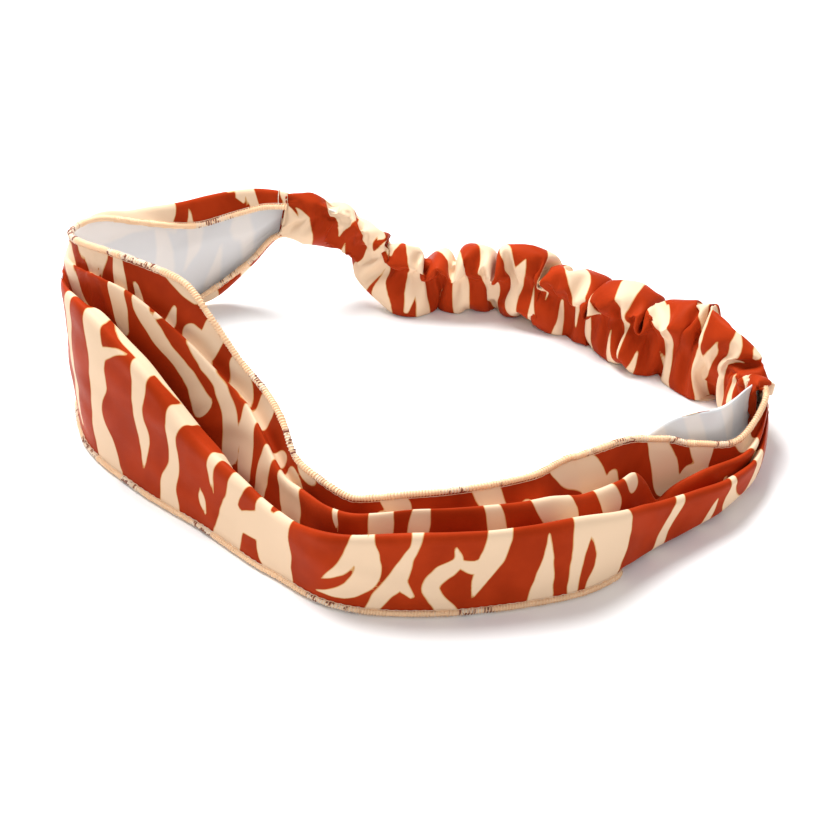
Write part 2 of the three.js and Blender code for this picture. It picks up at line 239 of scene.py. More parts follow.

# The print's cream strokes where the panel shows most, drawn one by one. Each is a list of
# (distance along the cloth, distance across it from the foot of the front face, half width).
FRONT_STROKES = [
    # front face, from the left fold to the middle
    [(114, 2, 1.6), (112.5, 20, 2.4), (114, 36, 2.2), (115, 52, 2.6)],
    [(132, -3, 6.2), (129.5, 5, 4.6), (127.4, 14, 3), (129, 24, 3.6), (129.5, 34, 3.8), (126, 50, 3)],
    [(130, 32, 2), (134, 35.5, 1.6), (138, 37.5, 1), (141, 38, 0.3)],
    [(146, 42, 3.2), (147, 33, 2.8), (146, 23, 2.2), (147.4, 15, 2.4), (147.6, 9, 1.4), (147, 3.5, 0.2)],
    [(163, 38, 3.4), (160.5, 27, 3.2), (159.2, 20, 2), (159.8, 12, 2.2), (158, 4, 3.2), (158, -3, 4)],
    [(176.5, 29, 2), (174.6, 19, 1.3), (175.4, 11, 0.2)],
    [(170.2, 10, 0.2), (170.6, 6, 1.1), (172.6, 1, 0.2)],
    [(187, 29, 3), (184.5, 19.5, 2.6), (182.6, 12, 2.4), (182.5, 7, 4.6), (181, 0, 5.2), (180, -3, 5.4)],
    [(183, 6, 3), (191, 9, 4), (198, 11, 5.6)],
    [(193.5, 30, 2.4), (194, 19, 2.4), (195, 11, 4)],
    [(203, 30, 3), (201.8, 18, 3.2), (200, 9, 5.8), (199, 3, 6.2), (202.5, -3, 3.4)],
    # front face, from the middle to the right
    [(228, 31, 2.6), (226, 19, 2.3), (222.4, 11, 2), (216, 5, 0.2)],
    [(229.5, 31, 1), (229.5, 21, 1.2), (228.8, 14, 3.2), (228, 8, 3.4), (223, 2.6, 2.2), (214, 0.2, 0.3)],
    [(242.5, 31, 1.6), (241, 20, 1.6), (238.5, 14, 1.8), (236, 8, 2.6), (231, 0.6, 2.4), (228, -4, 1.6)],
    [(236.5, 7, 2), (239.6, 2.6, 0.6)],
    [(263.5, 31, 3), (261.6, 18, 3), (258.5, 10, 2.8), (255, 1.6, 0.2)],
    [(250.5, 18.5, 0.1), (251.5, 13, 1.8), (247, 9, 2.4), (244.6, 4.6, 2.4), (249, -3, 2.8)],
    [(251, 12.6, 1.6), (256, 10.8, 2.2), (260, 13, 2)],
    [(274.6, 19, 0.1), (274.4, 12, 1.3), (273.6, 6, 2.4), (273, -2, 3.6)],
    [(285.5, 31, 3.4), (284, 17, 3), (282.6, 9, 2.2), (282, 3, 1.6), (281.5, -3, 1.2)],
    [(292, 31, 7.4), (293, 17, 7), (293.5, 9, 5.6), (292, 3, 5), (290.5, -3, 5.4)],
    [(321, 23, 1.6), (318.4, 15, 1.6), (316, 11, 1.8), (313.5, 5, 2), (311, -2, 2.2), (309, -6, 1.6)],
    [(332.5, 9, 0.2), (330.5, 3, 1.3), (326.5, -3, 1.4)],
    [(341, 20, 1.4), (338.8, 13, 1.5), (337.8, 8, 1.6), (338.8, 2, 3.2), (345, -2, 3),
     (351, 3, 2.6), (357, 12, 2.4)],
    # the ridge behind the front pleat, and the second pleat
    [(131, 50, 1.6), (138, 44.5, 3), (146, 40.5, 3), (154, 37.5, 3), (162, 34.5, 2.8), (168, 31, 2)],
    [(90, 44, 3), (100, 51, 2.6), (107, 60, 2.4), (114, 70, 2.4), (121, 80, 2.6),
     (128, 86, 3), (135, 90, 2.4)],
    [(97, 58, 2), (102, 66, 2.4), (107, 76, 2.4), (112, 86, 2.6)],
    [(131, 114, 1.4), (136, 106, 2.8), (142, 100, 2.6), (149, 94, 1.8), (154, 88, 2), (159, 78, 3)],
    [(150, 109, 2.4), (154, 103, 3), (157.5, 94, 2), (162, 86, 1.4), (166, 79, 1.9),
     (169, 71, 2.6), (170, 60, 3)],
    [(166.5, 95, 3), (168.4, 86, 2.8), (172, 78, 1)],
    [(178, 82, 3.6), (175.6, 72, 3.2), (175.6, 64, 3), (176.4, 54, 3)],
    [(187, 67, 2.6), (184.5, 58, 3), (183.5, 50, 2.6)],
    [(193.5, 62, 3.2), (196, 52, 4), (197.5, 44, 3.6)],
    [(211, 64, 0.8), (214, 57, 1.2), (216, 53, 0.2)],
    [(226.6, 55, 0.3), (225, 50, 1.6), (223.5, 46, 2)],
    [(230.5, 68, 3.8), (230.5, 46, 3.8)],
    [(243.5, 69, 2.6), (241.5, 56, 3), (241, 46, 3)],
    [(260.5, 70, 1.6), (263, 60, 2.4), (264.5, 46, 2.4)],
    [(274, 71, 2.6), (279, 64, 5.4), (283, 57, 6), (285, 46, 5)],
    [(299, 62, 3), (301, 46, 4)],
    [(310, 62, 2.4), (311, 46, 2)],
    # the broad back of the panel, up to the upper hem
    [(112, 92, 3), (114, 102, 3)],
    [(123, 110, 4.4), (127, 103, 4.2), (129.5, 96, 3)],
    [(144, 115, 0.4), (143, 109, 1.7), (140, 104, 0.4)],
    [(140, 124, 1.2), (146, 122, 2.2), (152, 119, 2.4)],
    [(164, 114, 4.6), (159, 107, 4.8), (156, 101, 4)],
    [(167.5, 107, 1.3), (166.4, 95, 1.2)],
    [(171.5, 103, 0.9), (170.4, 92, 0.9)],
    [(177, 91, 2.4), (183, 85, 4.2), (189, 78, 3)],
    [(197, 74, 3.6), (198, 67, 3)],
    [(231, 78, 4), (236, 72, 4.4)],
    [(261, 80, 4.6), (265, 71, 3.4)],
    [(291, 78, 3), (297, 73, 5.4), (303, 66, 5), (305, 58, 3)],
    # the pleats at the right end
    [(325, 57, 3.4), (327, 48, 4.6), (328, 40, 3.6)],
    [(337, 54, 3), (340, 46, 3.6), (341, 39, 3)],
    [(333, 40, 3), (339, 35, 3), (346, 36.5, 1.4)],
    [(353, 31, 3), (356, 24, 3.2), (357, 17, 3)],
    [(342, 13.5, 1.4), (348, 13.5, 1.2)],
    [(315, 31, 3.6), (317, 24, 2)],
    # the top of the left end
    [(88, 47, 4), (78, 43, 6.6), (64, 41, 8), (48, 40, 8.4), (40, 33, 4), (37, 27, 1)],
    [(34, 47, 1.8), (33, 40, 0.3)],
    [(7, 34, 2), (12, 28, 2.6), (17, 18, 2.2)],
]

# ---- curves and random fields

class Noise:
    """A smooth random field from -1 to 1 that is the same each run."""

    def __init__(self, seed):
        self.table = np.random.default_rng(seed).uniform(-1, 1, (256, 256))

    def __call__(self, x, y):
        x, y = np.broadcast_arrays(np.asarray(x, float), np.asarray(y, float))
        column = np.floor(x).astype(int)
        row = np.floor(y).astype(int)
        fx = x - column
        fy = y - row
        fx = fx * fx * (3 - 2 * fx)
        fy = fy * fy * (3 - 2 * fy)
        c0, c1, r0, r1 = column % 256, (column + 1) % 256, row % 256, (row + 1) % 256
        low = self.table[c0, r0] * (1 - fx) + self.table[c1, r0] * fx
        high = self.table[c0, r1] * (1 - fx) + self.table[c1, r1] * fx
        return low * (1 - fy) + high * fy


def through(values, places, steady=False):
    """Cubic curve through numbered values, read at fractional places.
    steady keeps it from overshooting where the values turn back."""
    values = np.asarray(values, float)
    steps = np.diff(values, axis=0)
    slopes = np.zeros_like(values)
    slopes[1:-1] = (steps[:-1] + steps[1:]) / 2
    slopes[0] = steps[0]
    slopes[-1] = steps[-1]
    if steady:
        limit = 2 * np.minimum(np.abs(steps[:-1]), np.abs(steps[1:]))
        turning = steps[:-1] * steps[1:] <= 0
        slopes[1:-1] = np.where(turning, 0, np.clip(slopes[1:-1], -limit, limit))
    start = np.clip(np.floor(places).astype(int), 0, len(values) - 2)
    t = (places - start).reshape(-1, *[1] * (values.ndim - 1))
    a, b = values[start], values[start + 1]
    return (
        (2 * t**3 - 3 * t**2 + 1) * a
        + (t**3 - 2 * t**2 + t) * slopes[start]
        + (3 * t**2 - 2 * t**3) * b
        + (t**3 - t**2) * slopes[start + 1]
    )


def running_length(points):
    """Length so far along a line of points, or along each line of a grid of them."""
    steps = np.linalg.norm(np.diff(points, axis=-2), axis=-1)
    return np.concatenate([np.zeros_like(steps[..., :1]), np.cumsum(steps, axis=-1)], axis=-1)


def at_lengths(line, where, values):
    """Values given at the points of a line, read at the given lengths along it."""
    lengths = running_length(line)
    return np.stack([np.interp(where, lengths, column) for column in values.T], axis=1)


def even_places(points, count):
    """Places along a numbered list of points that are evenly spaced by length, and that length."""
    fine = np.linspace(0, len(points) - 1, 2000)
    lengths = running_length(through(points, fine))
    return np.interp(np.linspace(0, lengths[-1], count), lengths, fine), lengths[-1]


def unit(vectors):
    return vectors / np.linalg.norm(vectors, axis=-1, keepdims=True)


def ease(x, low, high):
    """0 below low, 1 above high, smooth between."""
    t = np.clip((x - low) / (high - low), 0, 1)
    return t * t * (3 - 2 * t)


def normals_of(points):
    return unit(np.cross(np.gradient(points, axis=0), np.gradient(points, axis=1)))


# ---- the print

def random_strokes(seed, length, low, high, halves=(2.0, 4.4), leans=(-0.35, 0.35)):
    """Tapered, bent and forked strokes across a length of cloth, between low and high across it.
    halves and leans are the ranges of their half widths and of their slopes."""
    random = np.random.default_rng(seed)
    strokes = []
    u = -STROKE_PITCH
    while u < length + STROKE_PITCH:
        v = low - random.uniform(0, STROKE_START)
        while v < high:
            reach = random.uniform(*STROKE_REACH)
            half = random.uniform(*halves)
            lean = random.uniform(*leans)
            strokes.append(bent_stroke(random, u, v, reach, half, lean))
            if random.random() < FORK_ODDS:
                side = random.choice([-1, 1])
                fork = (u + 2 * side, v + reach / 3, reach * FORK_SHARE, FORK_HALF, lean + side * FORK_LEAN)
                strokes.append(bent_stroke(random, *fork))
            v += reach * random.uniform(0.8, 1.0)
        u += STROKE_PITCH * random.uniform(0.8, 1.2)
    return strokes


def bent_stroke(random, u, v, reach, half, lean):
    """One stroke of five points with an S bend, fat in the middle and fine at its two tips."""
    bend = random.uniform(-STROKE_BEND, STROKE_BEND)
    fat = random.uniform(0.8, 1.2, 3)
    shares = ((0, 0, 0.1), (0.25, 1, 0.8 * fat[0]), (0.5, 0, fat[1]), (0.75, -1, 0.8 * fat[2]), (1, 0, 0.1))
    return [
        (u + lean * reach * (t - 0.5) + bend * sway, v + reach * t, half * width)
        for t, sway, width in shares
    ]


def print_field(u, v, strokes):
    """How far each cloth point lies inside a cream stroke, in mm: negative is rust."""
    shape = u.shape
    points = np.stack([u.ravel(), v.ravel()], axis=1)
    field = np.full(len(points), -PRINT_REACH)
    for stroke in strokes:
        stroke = np.array(stroke, float)
        stroke = through(stroke, np.linspace(0, len(stroke) - 1, STROKE_STEPS * len(stroke)))
        line, half = stroke[:, :2], stroke[:, 2]
        reach = half.max() + PRINT_REACH
        near = ((points > line.min(axis=0) - reach) & (points < line.max(axis=0) + reach)).all(axis=1)
        here = points[near]
        best = field[near]
        for k in range(len(line) - 1):
            step = line[k + 1] - line[k]
            t = np.clip((here - line[k]) @ step / (step @ step), 0, 1)
            away = np.linalg.norm(here - line[k] - t[:, None] * step, axis=1)
            best = np.maximum(best, half[k] * (1 - t) + half[k + 1] * t - away)
        field[near] = best
    wobble = Noise(31)
    for depth, size, shift in PRINT_WOBBLE:
        field += depth * wobble(points[:, 0] / size + shift, points[:, 1] / size)
    return field.reshape(shape)


def panel_print(u, v):
    """The listed strokes, and random ones on the parts of the panel that face away."""
    drawn = print_field(u, v, FRONT_STROKES)
    random = print_field(u, v, random_strokes(PANEL_SEED, PANEL_CUT[1], v.min(), v.max()))
    left_back = np.minimum(LEFT_BACK[0] - u, LEFT_BACK[1] - v)
    right_lobe = np.minimum(u - RIGHT_LOBE[0], RIGHT_LOBE[1] - v)
    return np.maximum(drawn, np.minimum(random, np.maximum(left_back, right_lobe)))


# ---- materials

def new_material(name):
    """A new material with its nodes, its links and its main shader."""
    material = bpy.data.materials.new(name)
    material.use_nodes = True
    nodes = material.node_tree.nodes
    return material, nodes, material.node_tree.links, nodes["Principled BSDF"]


def add_node(nodes, kind, **settings):
    node = nodes.new(kind)
    for key, value in settings.items():
        if key in node.inputs:
            node.inputs[key].default_value = value
        else:
            setattr(node, key, value)
    return node


def set_inputs(node, values):
    for name, value in values.items():
        node.inputs[name].default_value = value


def mix_colour(nodes, links, factor, first, second):
    """Mixes two colours, each a colour or a socket, and returns the result's socket."""
    node = nodes.new("ShaderNodeMix")
    node.data_type = "RGBA"
    links.new(factor, node.inputs["Factor"])
    for socket, colour in ((node.inputs["A"], first), (node.inputs["B"], second)):
        if isinstance(colour, tuple):
            socket.default_value = (*colour, 1)
        else:
            links.new(colour, socket)
    return node.outputs["Result"]


def map_range(nodes, links, value, low, high, to_low=0.0, to_high=1.0):
    node = add_node(nodes, "ShaderNodeMapRange", interpolation_type="SMOOTHSTEP")
    set_inputs(node, {"From Min": low, "From Max": high, "To Min": to_low, "To Max": to_high})
    links.new(value, node.inputs["Value"])
    return node.outputs["Result"]


def noise_value(nodes, links, vector, scale, detail=2.0, stretch=None):
    if stretch:
        mapping = nodes.new("ShaderNodeMapping")
        mapping.inputs["Scale"].default_value = stretch
        links.new(vector, mapping.inputs["Vector"])
        vector = mapping.outputs["Vector"]
    node = add_node(nodes, "ShaderNodeTexNoise", Scale=scale, Detail=detail)
    links.new(vector, node.inputs["Vector"])
    return node.outputs["Fac"]


def print_value(nodes):
    """What print_field found for this place on the cloth."""
    return add_node(nodes, "ShaderNodeAttribute", attribute_name="print").outputs["Fac"]


def combined(nodes, links, operation, first, second):
    node = add_node(nodes, "ShaderNodeMath", operation=operation)
    links.new(first, node.inputs[0])
    links.new(second, node.inputs[1])
    return node.outputs["Value"]


def bumped(nodes, links, height, strength, depth):
    bump = add_node(nodes, "ShaderNodeBump", Strength=strength, Distance=depth * MM)
    links.new(height, bump.inputs["Height"])
    return bump.outputs["Normal"]


def weave_bump(nodes, links, vector, strength):
    """The fine diagonal floats of a satin weave over its soft surface ripple."""
    weave = add_node(nodes, "ShaderNodeTexWave", Scale=WEAVE_SCALE, Distortion=1.5, Detail=1.0)
    weave.bands_direction = "DIAGONAL"
    links.new(vector, weave.inputs["Vector"])
    ripple = noise_value(nodes, links, vector, RIPPLE_SCALE, 3.0, (1.0, 0.35, 1.0))
    height = combined(nodes, links, "ADD", weave.outputs["Fac"], ripple)
    return bumped(nodes, links, height, strength, WEAVE_DEPTH)


def printed_colour(nodes, links, vector):
    """Rust ground with cream strokes, each edged with a thin line where the inks meet."""
    field = print_value(nodes)
    inside = map_range(nodes, links, field, -0.1, 0.1)
    outline = map_range(nodes, links, field, 0.05, 0.4)
    tint = noise_value(nodes, links, vector, TINT_SCALE, 4.0)
    ground = mix_colour(nodes, links, map_range(nodes, links, tint, 0.3, 0.7), RUST, RUST_DEEP)
    cream = mix_colour(nodes, links, outline, OCHRE, CREAM)
    return mix_colour(nodes, links, inside, ground, cream)


def satin_right_side():
    material, nodes, links, shader = new_material("printed_satin")
    vector = nodes.new("ShaderNodeUVMap").outputs["UV"]
    links.new(printed_colour(nodes, links, vector), shader.inputs["Base Color"])
    shine = noise_value(nodes, links, vector, SHINE_SCALE, 3.0)
    links.new(map_range(nodes, links, shine, 0.2, 0.8, 0.34, 0.48), shader.inputs["Roughness"])
    links.new(weave_bump(nodes, links, vector, 0.3), shader.inputs["Normal"])
    set_inputs(shader, {
        "Specular IOR Level": 0.04,
        "Specular Tint": (*SATIN_TINT, 1),
        "Sheen Weight": 0.08,
        "Sheen Roughness": 0.35,
        "Sheen Tint": (*SHEEN_TINT, 1),
    })
    return material


def satin_wrong_side():
    """The pale back of the cloth, where the print shows through faintly."""
    material, nodes, links, shader = new_material("satin_wrong_side")
    vector = nodes.new("ShaderNodeUVMap").outputs["UV"]
    see_through = map_range(nodes, links, print_value(nodes), -0.8, 0.8)
    links.new(mix_colour(nodes, links, see_through, WRONG_RUST, WRONG_CREAM), shader.inputs["Base Color"])
    links.new(weave_bump(nodes, links, vector, 0.25), shader.inputs["Normal"])
    set_inputs(shader, {"Roughness": 0.5, "Specular IOR Level": 0.3})
    return material


def thread_bump(nodes, links, shader, vector, strength):
    twist = noise_value(nodes, links, vector, PLY_SCALE)
    links.new(bumped(nodes, links, twist, strength, TWIST_DEPTH), shader.inputs["Normal"])
    set_inputs(shader, {"Roughness": 0.6, "Sheen Weight": 0.1})


def overlock_material():
    """Peach thread that shows dark and pale ticks in patches, where it binds the rust print. The dark ticks
    are the rust print seen between its wraps, darker than the print as painted shade in those gaps.
    """
    material, nodes, links, shader = new_material("overlock_thread")
    vector = nodes.new("ShaderNodeTexCoord").outputs["Object"]
    over_rust = map_range(nodes, links, print_value(nodes), 0.3, -0.3)
    patches = map_range(nodes, links, noise_value(nodes, links, vector, PATCH_SCALE, 1.0), 0.48, 0.54)
    ticked = combined(nodes, links, "MULTIPLY", over_rust, patches)
    # the dark ticks are painted shade: the rust print seen in the shaded gaps between the wraps
    ticks = map_range(nodes, links, noise_value(nodes, links, vector, TICK_SCALE, 1.0), 0.42, 0.50)
    colour = mix_colour(nodes, links, ticks, SHADED_GAP_RUST, PALE_THREAD)
    colour = mix_colour(nodes, links, ticked, HEM_THREAD, colour)
    links.new(colour, shader.inputs["Base Color"])
    thread_bump(nodes, links, shader, vector, 0.4)
    return material


def sewing_thread_material():
    """Spun thread, with a slight change of colour along its length."""
    material, nodes, links, shader = new_material("sewing_thread")
    vector = nodes.new("ShaderNodeTexCoord").outputs["Object"]
    shade = map_range(nodes, links, noise_value(nodes, links, vector, SHADE_SCALE), 0.35, 0.65)
    links.new(mix_colour(nodes, links, shade, PALE_THREAD, HEM_THREAD), shader.inputs["Base Color"])
    thread_bump(nodes, links, shader, vector, 0.5)
    return material


def elastic_material():
    """White braided tape with lengthwise ribs."""
    material, nodes, links, shader = new_material("woven_elastic")
    vector = nodes.new("ShaderNodeUVMap").outputs["UV"]
    ribs = add_node(nodes, "ShaderNodeTexWave", Scale=RIB_SCALE, Distortion=0.4)
    ribs.bands_direction = "Y"
    links.new(vector, ribs.inputs["Vector"])
    # the grooves between the ribs are painted darker, as painted shade
    colour = mix_colour(nodes, links, ribs.outputs["Fac"], ELASTIC_GROOVE_SHADE, ELASTIC_WHITE)
    links.new(colour, shader.inputs["Base Color"])
    links.new(bumped(nodes, links, ribs.outputs["Fac"], 0.8, RIB_DEPTH), shader.inputs["Normal"])
    set_inputs(shader, {"Roughness": 0.75})
    return material


def floor_material():
    material, nodes, links, shader = new_material("paper_sweep")
    vector = nodes.new("ShaderNodeTexCoord").outputs["Object"]
    grain = noise_value(nodes, links, vector, GRAIN_SCALE)
    links.new(mix_colour(nodes, links, grain, PAPER_GREY, PAPER_WHITE), shader.inputs["Base Color"])
    set_inputs(shader, {"Roughness": 0.9, "Specular IOR Level": 0.1})
    return material


# ---- meshes

def grid_object(name, points, materials, wrap=False, uv=None, fields=None):
    """A mesh over a grid of points in mm. wrap closes it round its second axis, uv is the pair of
    the points' flat coordinates in mm, and fields are named values for each point."""
    columns, rows = points.shape[:2]
    index = np.arange(columns * rows).reshape(columns, rows)
    if wrap:
        index = np.concatenate([index, index[:, :1]], axis=1)
    quads = np.stack([index[:-1, :-1], index[1:, :-1], index[1:, 1:], index[:-1, 1:]], axis=-1)
    mesh = bpy.data.meshes.new(name)
    mesh.from_pydata(((points.reshape(-1, 3) + ORIGIN) * MM).tolist(), [], quads.reshape(-1, 4).tolist())
    if uv is not None:
        uv = np.stack(uv, axis=-1)
        if wrap:
            uv = np.concatenate([uv, uv[:, :1] + [0, 2 * uv[0, -1, 1] - uv[0, -2, 1]]], axis=1)
        corners = np.stack([uv[:-1, :-1], uv[1:, :-1], uv[1:, 1:], uv[:-1, 1:]], axis=2)
        layer = mesh.uv_layers.new(name="cloth")
        layer.data.foreach_set("uv", (corners.reshape(-1, 2) * MM).ravel().astype(np.float32))
    for field, values in (fields or {}).items():
        attribute = mesh.attributes.new(field, "FLOAT", "POINT")
        attribute.data.foreach_set("value", values.ravel().astype(np.float32))
    mesh.polygons.foreach_set("use_smooth", [True] * len(mesh.polygons))
    mesh.update()
    obj = bpy.data.objects.new(name, mesh)
    bpy.context.scene.collection.objects.link(obj)
    for material in materials:
        mesh.materials.append(material)
    return obj


def thicken(obj, two_sided=True):
    """Gives a sheet of cloth its thickness, with the second material on its wrong side."""
    solidify = obj.modifiers.new("cloth_thickness", "SOLIDIFY")
    solidify.thickness = CLOTH * MM
    solidify.offset = -1
    solidify.material_offset = 1 if two_sided else 0
    solidify.material_offset_rim = 0


def tube_along(name, line, radius, sides, materials, wide=1.0, fields=None):
    """A closed round tube about a line of points in mm, by carrying one frame along it."""
    tangents = unit(np.gradient(line, axis=0))
    across = np.zeros_like(line)
    across[0] = unit(np.cross(tangents[0], [0.3, 0.2, 0.93]))
    for i in range(1, len(line)):
        across[i] = unit(across[i - 1] - (across[i - 1] @ tangents[i]) * tangents[i])
    up = np.cross(tangents, across)
    turn = np.linspace(0, 2 * np.pi, sides, endpoint=False)
    ends = np.ones(len(line))
    ends[0] = ends[-1] = TIP
    ring = (radius * ends)[:, None, None] * (
        wide * np.cos(turn)[None, :, None] * across[:, None] + np.sin(turn)[None, :, None] * up[:, None]
    )
    points = line[:, None] + ring
    values = {key: np.repeat(value[:, None], sides, axis=1) for key, value in (fields or {}).items()}
    uv = np.meshgrid(running_length(line), turn * radius, indexing="ij")
    return grid_object(name, points, materials, wrap=True, uv=uv, fields=values)


# ---- front panel

def rolled(turn, before, after):
    """Three points round a crest or a trough, or close together where the cloth does not turn back."""
    rise = turn[:, 1] - before[:, 1]
    fall = turn[:, 1] - after[:, 1]
    sharp = np.where(rise * fall > 0, np.minimum(np.abs(rise), np.abs(fall)), 0)
    share = np.clip(sharp / SHARP_TURN, 0, 1)
    room = np.abs(after[:, 0] - turn[:, 0]) / 2.6
    half = share * np.minimum(room, FOLD_ROLL)
    side = np.stack([half, -1.1 * half * np.sign(rise)], axis=1)
    straight = STRAIGHT_STEP * (1 - share)[:, None] * unit(after - before)
    return turn - side * [1, -1] - straight, turn, turn + side + straight


def with_rolls(pairs, lengths):
    """Rounds each pleat's top, bulges the front face, and adds the ridge behind the front pleat."""
    hem, lobe, heel, turn, outer, valley, inner, dip, edge = np.moveaxis(pairs, 1, 0)
    belly = (turn + outer) / 2 - [BELLY, 0]
    front_roll = rolled(outer, turn, valley)
    begun = ease(lengths, TUCK[0], TUCK[0] + TUCK_RISE)
    over = ease(lengths, TUCK[1] - TUCK_FALL, TUCK[1])
    tucked = (begun * (1 - over))[:, None]
    wall = [
        (1 - tucked) * (front_roll[2] + (valley - front_roll[2]) * share) + tucked * (outer + [inward, up])
        for share, inward, up in TUCK_RIDGE
    ]
    return np.stack([
        hem, lobe, heel, turn, belly, *front_roll[:2], *wall, valley,
        *rolled(inner, valley, dip), *rolled(dip, inner, edge), edge,
    ], axis=1)


def panel_surface():
    """The cloth as a grid of points, with its flat coordinates: along it (u), and across it from the
    turn at the foot of the front face (v)."""
    foot = np.array([station[0] for station in PANEL], float)
    _, total = even_places(foot, 2)
    columns = int(total / SPACING) + 1
    places, total = even_places(foot, columns)
    line = through(foot, places)
    lengths = np.linspace(0, total, columns)
    along = unit(np.gradient(line, axis=0))
    inward = np.stack([-along[:, 1], along[:, 0]], axis=1)
    pairs = through(np.array([station[1:] for station in PANEL], float), places, steady=True)
    pairs = with_rolls(pairs, lengths)
    section = np.concatenate([
        *(
            pairs[:, k, None] + (pairs[:, k + 1] - pairs[:, k])[:, None] * np.arange(count)[:, None] / count
            for k, count in enumerate(ROWS)
        ),
        pairs[:, -1:],
    ], axis=1)
    for _ in range(ACROSS_PASSES):
        section[:, 1:-1] = section[:, 1:-1] / 2 + (section[:, :-2] + section[:, 2:]) / 4
    points = np.zeros((columns, section.shape[1], 3))
    points[..., :2] = line[:, None] + section[..., :1] * inward[:, None]
    points[..., 2] = section[..., 1]
    for _ in range(ALONG_PASSES):
        points[1:-1] = points[1:-1] / 2 + (points[:-2] + points[2:]) / 4
    v = running_length(points)
    v = v - v[:, TURN_ROW, None]
    return points, np.repeat(lengths[:, None], v.shape[1], axis=1), v


def crumple(points, u, v):
    """Moves all layers together by a soft field in space, then adds faint creases in the cloth."""
    noise = Noise(5)
    length = u.max()
    height = points[..., 2]
    loose = ease(np.minimum(u, length - u), 6, 30)
    broad_sway = 0.9 * noise(u / 30, height / 17)
    small_sway = 0.35 * noise(u / 12 + 9, height / 9)
    inward = unit(np.cross([0, 0, 1.0], np.gradient(points[:, :1], axis=0)))
    points = points + inward * ((broad_sway + small_sway) * loose)[..., None]
    free = ease(v - v[:, :1], 0.5, 4) * ease(v[:, -1:] - v, 0.5, 4)
    long_crease = 0.22 * noise(u / 40 + 30, v / 4.5 + 0.05 * u)
    dimple = 0.16 * noise(u / 9, v / 6 + 50)
    return points + normals_of(points) * ((long_crease + dimple) * loose * free)[..., None]


def front_panel(right_side, wrong_side):
    points, u, v = panel_surface()
    points = crumple(points, u, v)
    field = panel_print(u, v)
    panel = grid_object(
        "front_panel_cloth", points, [right_side, wrong_side],
        uv=(u, v), fields={"print": field},
    )
    thicken(panel)
    return panel, points, field


# ---- thread

def hem(name, edge, print_along, overlock):
    """The rolled edge of the cloth and the overlock thread wound closely round it."""
    plain = {"print": np.ones(len(edge))}
    roll = tube_along(name + "_roll", edge, HEM_RADIUS, HEM_SIDES, [overlock], fields=plain)
    total = running_length(edge)[-1]
    where = np.linspace(0, total, int(total / HEM_PITCH) * COIL_STEPS)
    middle = at_lengths(edge, where, edge)
    field = at_lengths(edge, where, print_along[:, None])[:, 0]
    tangents = unit(np.gradient(middle, axis=0))
    side = unit(np.cross(tangents, [0, 0, 1.0]))
    up = np.cross(side, tangents)
    wander = Noise(8)
    uneven = 0.25 * wander(where / 3, 0)
    slack = 0.08 * wander(where / 1.3, 5)
    spin = 2 * np.pi * (where / HEM_PITCH + uneven)
    reach = HEM_RADIUS + 0.4 * THREAD_RADIUS + slack
    coil = middle + reach[:, None] * (np.cos(spin)[:, None] * side + np.sin(spin)[:, None] * up)
    thread = tube_along(
        name + "_thread", coil, THREAD_RADIUS, COIL_SIDES, [overlock],
        wide=THREAD_FLAT, fields={"print": field},
    )
    return roll, thread


def running_stitch(name, line, outward, radius, material):
    """Stitches along a line on the cloth: the thread rises out of it and dips back into it."""
    total = running_length(line)[-1]
    where = np.linspace(0, total, int(total / STITCH) * STITCH_STEPS)
    wave = np.clip(np.cos(2 * np.pi * where / STITCH) + 0.6, -0.9, 1)[:, None]
    lift = CLOTH / 2 + 1.6 * radius * wave
    middle = at_lengths(line, where, line) + lift * at_lengths(line, where, outward)
    return tube_along(name, middle, radius, STITCH_SIDES, [material])


def needle_line(name, points, from_top, material):
    """The straight line of stitches beside the lower hem, or from_top beside the upper one."""
    rows = points[:, ::-1] if from_top else points
    outward = normals_of(points)[:, -1 - NEEDLE_ROW if from_top else NEEDLE_ROW]
    depth = running_length(rows)
    line = np.stack([
        [np.interp(NEEDLE_INSET, depth[i], rows[i, :, k]) for k in range(3)] for i in range(len(rows))
    ])
    return running_stitch(name, line, outward, NEEDLE_RADIUS, material)


# ---- casing

def casing_frames(count):
    """Even places along the casing: their points, inward and up directions, sizes and lengths."""
    middle = np.array([station[0] for station in CASING], float)
    size = np.array([station[1:] for station in CASING], float)
    places, total = even_places(middle, count)
    line = through(middle, places)
    along = unit(np.gradient(line, axis=0))
    side = unit(np.cross(along, [0, 0, 1.0]))
    rise = np.cross(side, along)
    return line, side, rise, through(size, places, steady=True), np.linspace(0, total, count)


